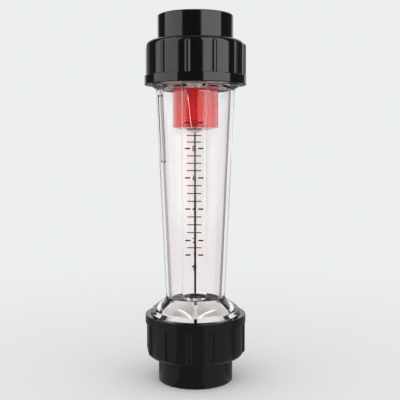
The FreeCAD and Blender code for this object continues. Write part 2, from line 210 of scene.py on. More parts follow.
def room_beside(tree, azimuth):
    """Tone of the room to the left or the right of the sweep, as the wall throws it back."""
    right_side = add_node(tree, "Math", {0: azimuth, 1: 0.0}, operation="GREATER_THAN")
    return add_node(tree, "Mix", {"Factor": right_side, 6: GLASS_ROOM[0], 7: GLASS_ROOM[1]},
                    data_type="RGBA")


def asking_ray(tree):
    """The ray's facts: has it been in glass, does it look out, is it through the near wall."""
    facts = add_node(tree, "LightPath").outputs
    depth = facts["Transmission Depth"]
    in_glass = add_node(tree, "Math", {0: depth, 1: 1.0}, operation="MINIMUM")
    looks_out = add_node(tree, "Math", {0: facts["Is Camera Ray"],
                                        1: facts["Is Transmission Ray"]}, operation="MAXIMUM")
    through_wall = add_node(tree, "Math", {0: depth, 1: EDGE_CROSSINGS}, operation="GREATER_THAN")
    return facts, in_glass, looks_out, through_wall


print("soft edge of every light in degrees:", EDGE_SOFTNESS)

# %% Draw the panels by direction
direction = add_node(studio, "TexCoord").outputs["Generated"]
azimuth = azimuth_of(studio, direction)
upwards = add_node(studio, "SeparateXYZ", {"Vector": direction}).outputs["Z"]
rise = add_node(studio, "Math", {0: upwards}, operation="ARCSINE")
elevation = add_node(studio, "Math", {0: rise, 1: DEGREES}, operation="MULTIPLY")


def panel_set(panels, span=PANEL_SPAN):
    """Light of several upright panels between two elevations, by direction."""
    light = 0.0
    for centre, half_width, strength in panels:
        across = window(studio, azimuth, centre, half_width)
        lit = add_node(studio, "Math", {0: across, 1: strength}, operation="MULTIPLY")
        light = add_node(studio, "Math", {0: light, 1: lit}, operation="ADD")
    upright = window(studio, elevation, (span[0] + span[1]) / 2, (span[1] - span[0]) / 2)
    return add_node(studio, "Math", {0: light, 1: upright}, operation="MULTIPLY")


panel_light = panel_set((PANEL_RIGHT, PANEL_LEFT))
flute_light = panel_set((FLUTE_LAMP,), FLUTE_LAMP_SPAN)
float_light = add_node(studio, "Math", {0: panel_set(FLOAT_PANELS), 1: flute_light},
                       operation="ADD")
print("nodes so far:", len(studio.nodes))

# %% Tell the kinds of ray apart
facts, in_glass, looks_out, through_wall = asking_ray(studio)
on_matt = add_node(studio, "Math", {0: facts["Diffuse Depth"], 1: 1.0}, operation="MINIMUM")
bounced = add_node(studio, "Math", {0: facts["Glossy Depth"], 1: facts["Diffuse Depth"]},
                   operation="ADD")
straight = add_node(studio, "Math", {0: 1.0, 1: bounced}, operation="SUBTRACT", use_clamp=True)
seen = add_node(studio, "Math", {0: straight, 1: looks_out}, operation="MULTIPLY")
glass_sweep = on_sweep(studio, azimuth, SWEEP_HALF_WIDTH)
panel_seen = add_node(studio, "Math", {0: panel_light, 1: 1.0}, operation="MINIMUM")
glass_light = add_node(studio, "Math", {0: panel_seen, 1: glass_sweep}, operation="MAXIMUM")
print("nodes so far:", len(studio.nodes))

# %% Give each kind its surroundings
lights = {}
for name, colour, strength in (
        ("room", ROOM_GREY, 1.0),
        ("sweep", BACKGROUND, 1.0),
        ("panels", WHITE, panel_light),
        ("deep room", DEEP_ROOM, 1.0),
        ("side room", room_beside(studio, azimuth), 1.0),
        ("edge sweep", EDGE_GLASS, 1.0),
        ("glass sweep", BEHIND_GLASS, 1.0),
        ("white panels", WHITE, float_light),
        ("warm panel", WARM_SCREEN, panel_set((WARM_PANEL,))),
        ("outer tent", WHITE, TENT_LIGHT),
        ("inner tent", WHITE, GLASS_TENT)):
    lights[name] = add_node(studio, "Background", {"Color": colour, "Strength": strength})

# A row with a share turns from its first light to its second as the share goes from 0 to 1.
# A row without one adds the two.
for name, share, first, second in (
        ("outer room", on_sweep(studio, azimuth, MIRRORED_SWEEP), "room", "sweep"),
        ("outer gloss", None, "outer room", "panels"),
        ("edge room", window(studio, elevation, 0.0, LEVEL_VIEW), "deep room", "side room"),
        ("edge gloss", glass_light, "edge room", "edge sweep"),
        ("inner room", glass_sweep, "deep room", "glass sweep"),
        ("float panels", None, "white panels", "warm panel"),
        ("float gloss", None, "inner room", "float panels"),
        ("inner gloss", through_wall, "edge gloss", "float gloss"),
        ("gloss", in_glass, "outer gloss", "inner gloss"),
        ("tent", in_glass, "outer tent", "inner tent"),
        ("view", in_glass, "sweep", "glass sweep"),
        ("bounced", on_matt, "gloss", "tent"),
        ("surroundings", seen, "bounced", "view")):
    pair = (lights[first], lights[second])
    if share is None:
        lights[name] = add_node(studio, "AddShader", dict(enumerate(pair)))
    else:
        lights[name] = add_node(studio, "MixShader", dict(enumerate((share, *pair))))
add_node(studio, "OutputWorld", {"Surface": lights["surroundings"]})
print("world nodes:", len(studio.nodes))

# %% [markdown]
# ## The floor
# The meter stands on a pale floor. Near the meter the floor is a matt surface that takes its
# shadow. Further out it fades into the colour of the sweep, so that no horizon shows. Glossy
# surfaces see a painted reflection there: the floor glows as a grey card, with a painted pool of
# light below each panel, which keeps the black plastic black. Rays that come through the clear
# tube find nearly the tones that the world has at that bearing, so that little changes for them
# at the horizon.

# %% Lay the floor
FLOOR_RADIUS = 6.0
FLOOR_GAP = 0.0002          # keeps the floor just clear of the meter's end face
FADE = (0.16, 0.80)         # metres out, where the matt floor starts and ends its fade
FAR_OFF = (1.4, 4.0)        # and where the tones seen through the tube do


def deselect():
    """Leave nothing selected, so that an operator acts on the new piece alone."""
    bpy.ops.object.select_all(action="DESELECT")


deselect()
bpy.ops.mesh.primitive_circle_add(vertices=64, radius=FLOOR_RADIUS, fill_type="NGON",
                                  location=(0.0, 0.0, cad_box[0][2] - FLOOR_GAP))
floor = bpy.context.object
floor.name = "studio_floor"
floor_material, tree = new_material("matt_floor_paint")
place = add_node(tree, "TexCoord").outputs["Object"]
away = add_node(tree, "VectorMath", {"Vector": place}, operation="LENGTH").outputs["Value"]
fade, far_off = (
    add_node(tree, "MapRange", {"Value": away, "From Min": start, "From Max": end},
             interpolation_type="SMOOTHSTEP")
    for start, end in (FADE, FAR_OFF))
print("floor radius in metres:", FLOOR_RADIUS)

# %% Tell apart what asks for the floor, and where
facts, in_glass, looks_out, through_wall = asking_ray(tree)
pale = add_node(tree, "Math", {0: fade, 1: in_glass}, operation="MAXIMUM")
as_sweep = add_node(tree, "Math", {0: pale, 1: looks_out}, operation="MULTIPLY")
# Glossy rays from outside the glass see a painted reflection of the floor, not the lit floor.
gets_painted_reflection = add_node(tree, "Math", {0: facts["Is Glossy Ray"], 1: in_glass},
                   operation="GREATER_THAN")
thrown_back = add_node(tree, "Math", {0: facts["Glossy Depth"], 1: 1.0}, operation="MINIMUM")
floor_azimuth = azimuth_of(tree, place)
# Painted pools of light on the floor below each panel, for glossy rays and for rays that the
# clear wall throws back.
painted_pool_right, painted_pool_left = (window(tree, floor_azimuth, *panel[:2])
                           for panel in (PANEL_RIGHT, PANEL_LEFT))
painted_pools = add_node(tree, "Math", {0: painted_pool_right, 1: painted_pool_left}, operation="MAXIMUM")
swept = on_sweep(tree, floor_azimuth, SWEEP_HALF_WIDTH)
edge_light = add_node(tree, "Math", {0: swept, 1: painted_pools}, operation="MAXIMUM")
print("nodes so far:", len(tree.nodes))

# %% Paint the floor
FLOOR_COLOUR = "e9eaeb"
# Painted reflection: the floor as glossy surfaces see it, a glowing grey, lighter in painted
# pools below the panels.
PAINTED_REFLECTION_GREY = "747476"
PAINTED_POOL_GREY = "98989a"
NEAR_GLASS = "fcf8f7"       # the floor close by, seen through the clear tube
FAR_ROOM = "a8a4a4"         # the room far off, as the rod inside the tube mirrors it

# As with the lights, a share turns each row from its first tone to its second.
floor_tones = {"beside": room_beside(tree, floor_azimuth)}
for name, share, first, second in (
        ("painted_reflection", painted_pools, PAINTED_REFLECTION_GREY, PAINTED_POOL_GREY),
        ("kept by the wall", edge_light, "beside", EDGE_GLASS),
        ("room", far_off, DEEP_ROOM, FAR_ROOM),
        ("mirrored inside", swept, "room", BEHIND_GLASS),
        ("thrown back", through_wall, "kept by the wall", "mirrored inside"),
        ("seen", far_off, NEAR_GLASS, BEHIND_GLASS),
        ("through glass", thrown_back, "seen", "thrown back"),
        ("sweep's foot", in_glass, BACKGROUND, "through glass")):
    floor_tones[name] = add_node(tree, "Mix", {"Factor": share, 6: floor_tones.get(first, first),
                                               7: floor_tones.get(second, second)},
                                 data_type="RGBA")
paint = add_node(tree, "BsdfDiffuse", {"Color": FLOOR_COLOUR, "Roughness": 0.5})
# The painted reflection glows by itself, though it is no lamp; only glossy rays see it.
painted_reflection = add_node(tree, "Emission", {"Color": floor_tones["painted_reflection"]})
sweep_foot = add_node(tree, "Emission", {"Color": floor_tones["sweep's foot"]})
near_floor = add_node(tree, "MixShader", {0: gets_painted_reflection, 1: paint, 2: painted_reflection})
whole_floor = add_node(tree, "MixShader", {0: as_sweep, 1: near_floor, 2: sweep_foot})
add_node(tree, "OutputMaterial", {"Surface": whole_floor})
floor.data.materials.append(floor_material)
print("floor nodes:", len(tree.nodes))

# %% [markdown]
# ## Plastics, rubber and steel
# Every finish starts from what the real one is. ABS is a hard plastic with an index of
# refraction near 1.54. It comes out of a polished mould glossy, with a very faint orange peel a
# few millimetres across that bends the edges of its highlights. All patterns read Object
# coordinates, in metres, so one over a size in metres gives a pattern of that size.

# %% One pattern, and what every finish is made of
MIDDLE = {"From Min": 0.3, "From Max": 0.7}     # where most of a noise pattern's values lie
finishes = {}


def per(size_mm):
    """Texture scale that gives a pattern of about this size."""
    return 1.0 / (size_mm * MM)


def mottle(tree, size_mm, stretch=(1.0, 1.0, 1.0), detail=2.0):
    """Soft noise of a real size, stretched along an axis where the finish has a grain."""
    place = add_node(tree, "TexCoord").outputs["Object"]
    grain = add_node(tree, "Mapping", {"Vector": place, "Scale": stretch})
    noise = add_node(tree, "TexNoise", {"Vector": grain, "Scale": per(size_mm), "Detail": detail})
    return noise.outputs["Fac"]


def keep_finish(material, slot_name, tone, gloss=None, relief=None, **sockets):
    """Complete a finish and keep it for its slot. Tone is a pattern and the two colours it
    mixes, gloss a pattern and two roughnesses, and relief a pattern and its height in mm."""
    tree = material.node_tree
    given = {name.replace("_", " "): value for name, value in sockets.items()}
    given["Base Color"] = add_node(tree, "Mix", {"Factor": tone[0], 6: tone[1], 7: tone[2]},
                                   data_type="RGBA")
    if gloss:
        given["Roughness"] = add_node(tree, "MapRange", {"Value": gloss[0], **MIDDLE,
                                                         "To Min": gloss[1], "To Max": gloss[2]})
    if relief:
        given["Normal"] = add_node(tree, "Bump", {"Height": relief[0], "Strength": 1.0,
                                                  "Distance": relief[1] * MM})
    shader = add_node(tree, "BsdfPrincipled", given)
    add_node(tree, "OutputMaterial", {"Surface": shader})
    finishes[slot_name] = material
    print(material.name + ":", len(tree.nodes), "nodes")


print("texture scale for a pattern of 1 mm:", per(1.0))

# %% Glossy black ABS, moulded
# Nearly all that is seen of it is what it mirrors, a little softer where hands have worn it.
PEEL_SIZE = 3.5             # millimetres across one dimple of the orange peel
material, tree = new_material("moulded_black_abs")
handled = mottle(tree, size_mm=14.0)
keep_finish(material, "black_abs", tone=(handled, "08090a", "0c0d0e"),
            gloss=(handled, 0.07, 0.13),
            relief=(mottle(tree, PEEL_SIZE, detail=1.0), 0.010), IOR=1.54)

# %% Glossy red ABS, moulded
# Its highlights are sharp and its colour is full, which a second, glossier layer gives.
material, tree = new_material("moulded_red_abs")
clouds = mottle(tree, size_mm=9.0)
keep_finish(material, "red_abs", tone=(clouds, "e40304", "de0202"), gloss=(clouds, 0.05, 0.09),
            relief=(mottle(tree, PEEL_SIZE, detail=1.0), 0.006),
            IOR=1.54, Coat_Weight=1.0, Coat_IOR=1.5, Coat_Roughness=0.05)

# %% White ABS for the rod's supports
# The mould was only blasted, so a fine grit spreads the highlights.
material, tree = new_material("moulded_white_abs")
clouds = mottle(tree, size_mm=6.0)
keep_finish(material, "white_abs", tone=(clouds, "f9f8f6", "f4f3f0"), gloss=(clouds, 0.30, 0.42),
            relief=(mottle(tree, size_mm=0.6), 0.004), IOR=1.54)

# %% White silicone for the stop buffers
# Light enters this soft rubber and leaves it again nearby, which gives it a milky look.
material, tree = new_material("moulded_white_silicone")
clouds = mottle(tree, size_mm=4.0)
keep_finish(material, "white_silicone", tone=(clouds, "e6e4e0", "dcdad4"),
            gloss=(clouds, 0.45, 0.6), relief=(mottle(tree, size_mm=0.5), 0.006),
            IOR=1.41, Subsurface_Weight=0.2, Subsurface_Scale=1.5 * MM)

# %% Black rubber for the O-rings
# A bloom of wax on the surface makes it dull, and greyer in patches.
material, tree = new_material("moulded_black_rubber")
bloom = mottle(tree, size_mm=5.0)
keep_finish(material, "black_rubber", tone=(bloom, "121212", "1b1a1a"), gloss=(bloom, 0.5, 0.7),
            relief=(mottle(tree, size_mm=0.3), 0.008), IOR=1.52)

# %% [markdown]
# Drawing pulls a steel rod through a die, which leaves fine lines along it. Turning leaves rings
# round a piece, one for each turn of the lathe, as wide as the tool's feed. Both are drawn a
# little coarser than life, because the real lines are too fine to show.

# %% Drawn steel, for the rod and its fasteners
# The lines blur what the rod mirrors across it and leave it sharp along it.
DRAW_LINE = 0.25            # millimetres between drawing lines
material, tree = new_material("drawn_steel")
lines = mottle(tree, DRAW_LINE, stretch=(1.0, 1.0, 0.01), detail=3.0)
keep_finish(material, "stainless_steel", tone=(lines, "827e7c", "928e8c"),
            gloss=(lines, 0.07, 0.13), relief=(lines, 0.004), Metallic=1.0)

# %% Turned steel and turned acetal
# The rings draw a highlight out to both sides on steel, and give waxy acetal a satin sheen.
TOOL_FEED = 0.4             # millimetres between turning marks
WAVE_PERIOD = math.pi / 10.0    # of a wave texture at a scale of 1
for slot_name, name, dark, pale, rough, metallic in (
        ("bare_steel", "turned_steel", "817e7b", "969390", (0.30, 0.44), 1.0),
        ("white_acetal", "turned_white_acetal", "ecebe6", "f4f3ef", (0.34, 0.46), 0.0)):
    material, tree = new_material(name)
    place = add_node(tree, "TexCoord").outputs["Object"]
    marks = add_node(tree, "TexWave", {"Vector": place, "Scale": per(TOOL_FEED) * WAVE_PERIOD},
                     wave_type="RINGS", rings_direction="Z").outputs["Fac"]
    keep_finish(material, slot_name, tone=(marks, dark, pale),
                gloss=(mottle(tree, size_mm=3.0), *rough), relief=(marks, 0.003),
                Metallic=metallic)

# %% [markdown]
# Acrylic bends light with an index of 1.49. The melt cools unevenly in the mould, so the wall is
# a few hundredths of a millimetre thicker here than there, over a centimetre or more. That
# makes the lines behind the tube waver a little, as they do on the real one.

# %% Clear acrylic, moulded and polished
FLOW_SIZE = 16.0            # millimetres across one swell of the wall
FLOW_HEIGHT = 0.03          # millimetres from its foot to its top
material, tree = new_material("polished_clear_acrylic")
flow = mottle(tree, FLOW_SIZE, stretch=(1.0, 1.0, 0.35), detail=1.0)
keep_finish(material, "clear_acrylic", tone=(flow, "fdfcfc", "fbfafb"),
            relief=(flow, FLOW_HEIGHT), IOR=1.49, Roughness=0.0, Transmission_Weight=1.0)

# %% Dark red ink, screen printed, and black ink for painted shade
# The screen lays the ink on unevenly, so its colour is deeper where it is thick.
for name, thick, thin in (("screen_printed_maroon", "4e0814", "6a1220"),
                          ("painted_edge_shade_black", "141213", "2a2627")):
    material, tree = new_material(name)
    cover = mottle(tree, size_mm=0.8)
    ink_share = add_node(tree, "MapRange", {"Value": cover, **MIDDLE})
    keep_finish(material, name, tone=(ink_share, thick, thin), gloss=(cover, 0.4, 0.6), IOR=1.5)

# %% Give the frame's pieces their finishes
for part in frame["record"]["subparts"]:
    for slot in frame["nodes"][part["node"]].material_slots:
        slot.material = finishes[part["material_slot"]]
print("finishes:", ", ".join(sorted(finishes)))

# %% [markdown]
# ## The clear tube
# The tube is one moulding: two short necks for the unions, a sloped shoulder beside each, and a
# long tapered wall between them. It could be spun from an outline. Here a ring is drawn up the
# outside and back down the bore, one extrusion for each point of the outline, so that every
# loop stays a true circle and the wall is closed. Straight stretches need no loops of their
# own, and round corners get a loop every few degrees.

# %% Sizes of the tube, in millimetres
tube_low, tube_high = (Vector(corner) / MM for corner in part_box("metering_tube"))
TUBE_BASE = tube_low.z
TUBE_TOP = tube_high.z
NECK_RADIUS = tube_high.x
NECK_CHAMFER = 1.2
LOWER_NECK = 31.5           # end face to shoulder edge
UPPER_NECK = 27.5
SUPPORT_RADIUS = 35.5       # counterbore at each end
SUPPORT_DEPTH = 24.7
BORE_LOW_RADIUS = 23.9
BORE_HIGH_RADIUS = 34.0
FUNNEL_HEIGHT = 14.0
TUBE_WALL = 5.6
SHOULDER_SLOPE = math.radians(36.0)
SHOULDER_EDGE_RADIUS = 2.0
SHOULDER_ROOT_RADIUS = 4.0
SIDES = 256
ARC_STEP = math.radians(7.0)
SAME_POINT = 0.001          # points closer than this are one

lower_ledge = TUBE_BASE + SUPPORT_DEPTH
upper_ledge = TUBE_TOP - SUPPORT_DEPTH
taper_base = lower_ledge + FUNNEL_HEIGHT
taper_rate = (BORE_HIGH_RADIUS - BORE_LOW_RADIUS) / (upper_ledge - taper_base)
lower_edge = TUBE_BASE + LOWER_NECK
upper_edge = TUBE_TOP - UPPER_NECK


def wall_radius(level):
    """Outside of the tapered wall at a level, in millimetres."""
    return BORE_LOW_RADIUS + taper_rate * (level - taper_base) + TUBE_WALL


def shoulder_foot(edge, direction):
    """Level where a shoulder's slope meets the tapered wall."""
    reach = NECK_RADIUS - wall_radius(edge)
    rise = math.tan(SHOULDER_SLOPE)
    return edge + direction * reach * rise / (1 + direction * taper_rate * rise)


lower_foot = shoulder_foot(lower_edge, 1)
upper_foot = shoulder_foot(upper_edge, -1)
print("tapered wall from", round(lower_foot, 1), "to", round(upper_foot, 1), "mm")


# %% Helpers that turn a piece from its outline
def outline(corners):
    """Points of a closed outline; a corner with a third value is rounded to that radius."""
    points = []
    for index, corner in enumerate(corners):
        here = Vector(corner[:2])
        if len(corner) == 2:
            points.append(here)
            continue
        back = (Vector(corners[index - 1][:2]) - here).normalized()
        ahead = (Vector(corners[(index + 1) % len(corners)][:2]) - here).normalized()
        half_angle = back.angle(ahead) / 2
        centre = here + (back + ahead).normalized() * corner[2] / math.sin(half_angle)
        start = here + back * corner[2] / math.tan(half_angle) - centre
        turn = start.angle_signed(here + ahead * corner[2] / math.tan(half_angle) - centre)
        steps = max(2, round(abs(turn) / ARC_STEP))
        for step in range(steps + 1):
            points.append(centre + Matrix.Rotation(-turn * step / steps, 2) @ start)
    return points


def close_up():
    """Turn all faces of the piece outwards and leave edit mode."""
    bpy.ops.mesh.select_all(action="SELECT")
    bpy.ops.mesh.normals_make_consistent(inside=False)
    bpy.ops.object.mode_set(mode="OBJECT")


def settle():
    """Put the piece's place, turn and size into its mesh."""
    bpy.ops.object.transform_apply(location=True, rotation=True, scale=True)


def turned(name, corners):
    """Closed body of revolution: a ring drawn along the outline and merged with its start."""
    points = [point * MM for point in outline(corners)]
    deselect()
    bpy.ops.mesh.primitive_circle_add(vertices=SIDES, radius=points[0].x,
                                      location=(0.0, 0.0, points[0].y))
    piece = bpy.context.object
    piece.name = name
    bpy.ops.object.mode_set(mode="EDIT")
    for here, ahead in zip(points, points[1:] + points[:1]):
        step = {"value": (0.0, 0.0, ahead.y - here.y)}
        bpy.ops.mesh.extrude_region_move(TRANSFORM_OT_translate=step)
        ratio = ahead.x / here.x
        bpy.ops.transform.resize(value=(ratio, ratio, 1.0), center_override=(0.0, 0.0, 0.0))
    bpy.ops.mesh.select_all(action="SELECT")
    bpy.ops.mesh.remove_doubles(threshold=SAME_POINT * MM)
    close_up()
    settle()
    return piece


print("round corners have a point every", round(math.degrees(ARC_STEP)), "degrees or so")

# %% Turn the clear tube
clear_tube = turned("clear_tube", [
    (SUPPORT_RADIUS, TUBE_BASE),
    (NECK_RADIUS - NECK_CHAMFER, TUBE_BASE),
    (NECK_RADIUS, TUBE_BASE + NECK_CHAMFER),
    (NECK_RADIUS, lower_edge, SHOULDER_EDGE_RADIUS),
    (wall_radius(lower_foot), lower_foot, SHOULDER_ROOT_RADIUS),
    (wall_radius(upper_foot), upper_foot, SHOULDER_ROOT_RADIUS / 2),
    (NECK_RADIUS, upper_edge, SHOULDER_EDGE_RADIUS),
    (NECK_RADIUS, TUBE_TOP - NECK_CHAMFER),
    (NECK_RADIUS - NECK_CHAMFER, TUBE_TOP),
    (SUPPORT_RADIUS, TUBE_TOP),
    (SUPPORT_RADIUS, upper_ledge),
    (BORE_HIGH_RADIUS, upper_ledge),
    (BORE_LOW_RADIUS, taper_base, SHOULDER_ROOT_RADIUS),
    (BORE_HIGH_RADIUS, lower_ledge),
    (SUPPORT_RADIUS, lower_ledge),
])
print("clear tube:", len(clear_tube.data.vertices), "points")

# %% [markdown]
# The scale is printed on a flat strip down the front. The strip is milled off the round wall, so
# a wedge is built and taken away from it. The wedge starts as a sheet that lies on the strip. It
# is drawn outwards, and its far side is made taller, which leaves a slope of 45 degrees at each
# end of the strip. A thin rod then cuts the fine groove along each long edge.

# %% Sizes of the strip, in millimetres
FLAT_WIDTH = 22.9
FLAT_SINK = 0.3             # step down to the strip along its long edges
EDGE_LINE = 0.7             # width of the fine groove that the cutter leaves at the step
FLAT_LOW_MARGIN = 5.0       # strip's ends clear of the shoulders
FLAT_HIGH_MARGIN = 1.0
flat_low = lower_foot + FLAT_LOW_MARGIN
flat_high = upper_foot - FLAT_HIGH_MARGIN
flat_height = flat_high - flat_low
depth_low = math.sqrt(wall_radius(flat_low) ** 2 - (FLAT_WIDTH / 2) ** 2) - FLAT_SINK
depth_high = math.sqrt(wall_radius(flat_high) ** 2 - (FLAT_WIDTH / 2) ** 2) - FLAT_SINK
CUTTER_REACH = 20.0


def flat_depth(level):
    """Distance of the flat strip from the axis at a level."""
    share = (level - flat_low) / flat_height
    return depth_low + share * (depth_high - depth_low)


print("strip", FLAT_WIDTH, "mm wide and", round(flat_height), "mm high")


# %% Cut the flat strip
def cut(piece, cutter):
    """Take one closed mesh away from another, and throw the cutter away."""
    boolean = piece.modifiers.new("cut", "BOOLEAN")
    boolean.operation = "DIFFERENCE"
    boolean.solver = "MANIFOLD"
    boolean.object = cutter
    deselect()
    bpy.context.view_layer.objects.active = piece
    bpy.ops.object.modifier_apply(modifier=boolean.name)
    bpy.data.objects.remove(cutter, do_unlink=True)


lean = math.atan((depth_high - depth_low) / flat_height)
middle = (flat_low + flat_high) / 2
deselect()
bpy.ops.mesh.primitive_plane_add(size=1.0, rotation=(math.pi / 2 + lean, 0.0, 0.0),
                                 location=(0.0, -flat_depth(middle) * MM, middle * MM))
wedge = bpy.context.object
wedge.scale = (FLAT_WIDTH * MM, flat_height / math.cos(lean) * MM, 1.0)
settle()
bpy.ops.object.mode_set(mode="EDIT")
bpy.ops.mesh.select_all(action="SELECT")
outwards = {"value": (0.0, -CUTTER_REACH * MM, 0.0)}
bpy.ops.mesh.extrude_region_move(TRANSFORM_OT_translate=outwards)
taller = 1.0 + 2.0 * CUTTER_REACH / flat_height
bpy.ops.transform.resize(value=(1.0, 1.0, taller), center_override=(0.0, 0.0, middle * MM))
close_up()
cut(clear_tube, wedge)
print("strip cut:", len(clear_tube.data.polygons), "faces")

# %% Groove its long edges
for side in (-1, 1):
    deselect()
    bpy.ops.mesh.primitive_cylinder_add(vertices=8, radius=EDGE_LINE / 2 * MM,
                                        depth=flat_height / math.cos(lean) * MM,
                                        rotation=(lean, 0.0, 0.0),
                                        location=(side * FLAT_WIDTH / 2 * MM,
                                                  -flat_depth(middle) * MM, middle * MM))
    line = bpy.context.object
    settle()
    cut(clear_tube, line)
print("grooves cut:", len(clear_tube.data.polygons), "faces")

# %% [markdown]
# A shallow panel for a name is sunk into the wall at the left. It is left bare. Its floor follows
# the taper, so the block that cuts it first loses its inside to a cone the shape of that floor.

# %% Sink the bare panel
PANEL_AZIMUTH = math.radians(-60.2)
PANEL_WIDTH = 11.0
PANEL_RISE = 178.7          # from the tube's lower end
PANEL_LOW = TUBE_BASE + PANEL_RISE
PANEL_HEIGHT = 67.0
PANEL_DEPTH = 0.5
PANEL_CORNER = 1.2
panel_middle = PANEL_LOW + PANEL_HEIGHT / 2

deselect()
bpy.ops.mesh.primitive_cube_add(size=1.0, location=(0.0, -NECK_RADIUS / 2 * MM,
                                                    panel_middle * MM))
block = bpy.context.object
block.scale = (PANEL_WIDTH * MM, NECK_RADIUS * MM, PANEL_HEIGHT * MM)
settle()
corners = block.modifiers.new("corners", "BEVEL")
corners.width = PANEL_CORNER * MM
corners.segments = 5
corners.limit_method = "WEIGHT"
weights = block.data.attributes.new("bevel_weight_edge", "FLOAT", "EDGE")
for edge in block.data.edges:
    start, finish = (block.data.vertices[index].co for index in edge.vertices)
    weights.data[edge.index].value = float(abs(start.y - finish.y) > NECK_RADIUS / 2 * MM)
bpy.ops.object.modifier_apply(modifier=corners.name)
CORE_OVERLAP = 2.0
core_low = PANEL_LOW - CORE_OVERLAP
core_high = PANEL_LOW + PANEL_HEIGHT + CORE_OVERLAP
deselect()
bpy.ops.mesh.primitive_cone_add(vertices=SIDES, depth=(core_high - core_low) * MM,
                                radius1=(wall_radius(core_low) - PANEL_DEPTH) * MM,
                                radius2=(wall_radius(core_high) - PANEL_DEPTH) * MM,
                                location=(0.0, 0.0, panel_middle * MM))
core = bpy.context.object
settle()
cut(block, core)
block.data.transform(Matrix.Rotation(PANEL_AZIMUTH, 4, "Z"))
cut(clear_tube, block)
print("panel", PANEL_WIDTH, "by", PANEL_HEIGHT, "mm")

# %% [markdown]
# ## The threads
# The unions' threads have a pitch of 4 mm, coarse enough to start by hand. A thread is a short
# section carried round the axis while it climbs, which is what the Screw modifier does. The
# tube's groove is cut with such a body. The nut's ridge is another, smaller all round by the
# clearance, so the two never touch while the nut turns.

# %% Carry a section up a helix
THREAD_PITCH = 4.0
THREAD_STEPS = 128          # flats in one turn
THREAD_DEPTH = 1.2
GROOVE = (2.6, 1.4)         # width at the neck's surface and at the bottom
RIDGE = (1.9, 0.9)          # width at the nut's bore and at the crest
RIDGE_CREST = 0.35          # crest to the bottom of the groove
THREAD_GAP = 0.3            # neck to the nut's bore
OVERSHOOT = 0.6             # how far a cutter or a ridge's root passes the surface


def helix(name, inner, outer, inner_width, outer_width, start, turns):
    """Trapezium section carried up a right-hand thread, closed at both ends."""
    deselect()
    bpy.ops.mesh.primitive_circle_add(vertices=4)
    piece = bpy.context.object
    piece.name = name
    section = ((inner, -inner_width / 2), (outer, -outer_width / 2),
               (outer, outer_width / 2), (inner, inner_width / 2))
    for vertex, (radius, level) in zip(piece.data.vertices, section):
        vertex.co = (radius * MM, 0.0, (start + level) * MM)
    screw = piece.modifiers.new("climb", "SCREW")
    screw.angle = 2.0 * math.pi * turns
    screw.screw_offset = THREAD_PITCH * turns * MM
    screw.steps = screw.render_steps = round(THREAD_STEPS * turns)
    bpy.ops.object.modifier_apply(modifier=screw.name)
    bpy.ops.object.mode_set(mode="EDIT")
    bpy.ops.mesh.select_all(action="DESELECT")
    bpy.ops.mesh.select_mode(type="EDGE")
    bpy.ops.mesh.select_non_manifold()
    bpy.ops.mesh.fill_holes(sides=4)
    close_up()
    return piece


def turn_over(piece, level):
    """Turn a piece upside down about a level in millimetres."""
    piece.data.transform(Matrix.Translation((0.0, 0.0, 2.0 * level * MM))
                         @ Matrix.Rotation(math.pi, 4, "X"))


def upper_copy(piece, name):
    """A copy of a lower piece, with its own mesh, turned over to serve at the upper end."""
    copy = piece.copy()
    copy.data = piece.data.copy()
    copy.name = name
    bpy.context.scene.collection.objects.link(copy)
    turn_over(copy, (TUBE_BASE + TUBE_TOP) / 2)
    return copy


print("thread pitch", THREAD_PITCH, "mm and depth", THREAD_DEPTH, "mm")

# %% Cut the grooves and fit the ridges
GROOVE_TURNS = 6.0
RIDGE_TURNS = 4.5
groove_start = TUBE_BASE - THREAD_PITCH / 2
groove_slope = (GROOVE[0] - GROOVE[1]) / THREAD_DEPTH
lower_groove = helix("lower_groove", NECK_RADIUS - THREAD_DEPTH, NECK_RADIUS + OVERSHOOT,
                     GROOVE[1], GROOVE[0] + groove_slope * OVERSHOOT, groove_start, GROOVE_TURNS)
upper_groove = upper_copy(lower_groove, "upper_groove")
cut(clear_tube, lower_groove)
cut(clear_tube, upper_groove)

crest = NECK_RADIUS - THREAD_DEPTH + RIDGE_CREST
root = NECK_RADIUS + THREAD_GAP + OVERSHOOT
lower_ridge = helix("lower_nut_thread", crest, root, RIDGE[1], RIDGE[0],
                    groove_start + THREAD_PITCH, RIDGE_TURNS)
upper_ridge = upper_copy(lower_ridge, "upper_nut_thread")
print("ridge climbs from", round(groove_start + THREAD_PITCH, 1), "mm")

# %% Clean the cuts
CUT_TOLERANCE = 0.002           # points closer than this are one


def clean_cuts(piece):
    """Merge the nearly equal points that cuts leave where two meshes have corners together."""
    deselect()
    bpy.context.view_layer.objects.active = piece
    bpy.ops.object.mode_set(mode="EDIT")
    bpy.ops.mesh.select_all(action="SELECT")
    bpy.ops.mesh.remove_doubles(threshold=CUT_TOLERANCE * MM)
    bpy.ops.mesh.dissolve_degenerate(threshold=CUT_TOLERANCE * MM)
    bpy.ops.object.mode_set(mode="OBJECT")


clean_cuts(clear_tube)
print("clean tube:", len(clear_tube.data.vertices), "points")

# %% Smooth the tube and the ridges, and hand them over
CREASE = math.radians(12.0)     # sharper edges than this stay crisp


def finish_piece(piece, body, finish, crease=CREASE):
    """Shade a piece, and give it its finish and its body."""
    deselect()
    piece.select_set(True)
    bpy.context.view_layer.objects.active = piece
    bpy.ops.object.shade_smooth_by_angle(angle=crease)
    piece.data.materials.clear()
    piece.data.materials.append(finishes[finish])
    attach(piece, body)


finish_piece(clear_tube, "tube", "clear_acrylic")
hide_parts("metering_tube")
finish_piece(lower_ridge, "lower_nut", "black_abs")
finish_piece(upper_ridge, "upper_nut", "black_abs")
print("clear tube:", len(clear_tube.data.polygons), "faces")

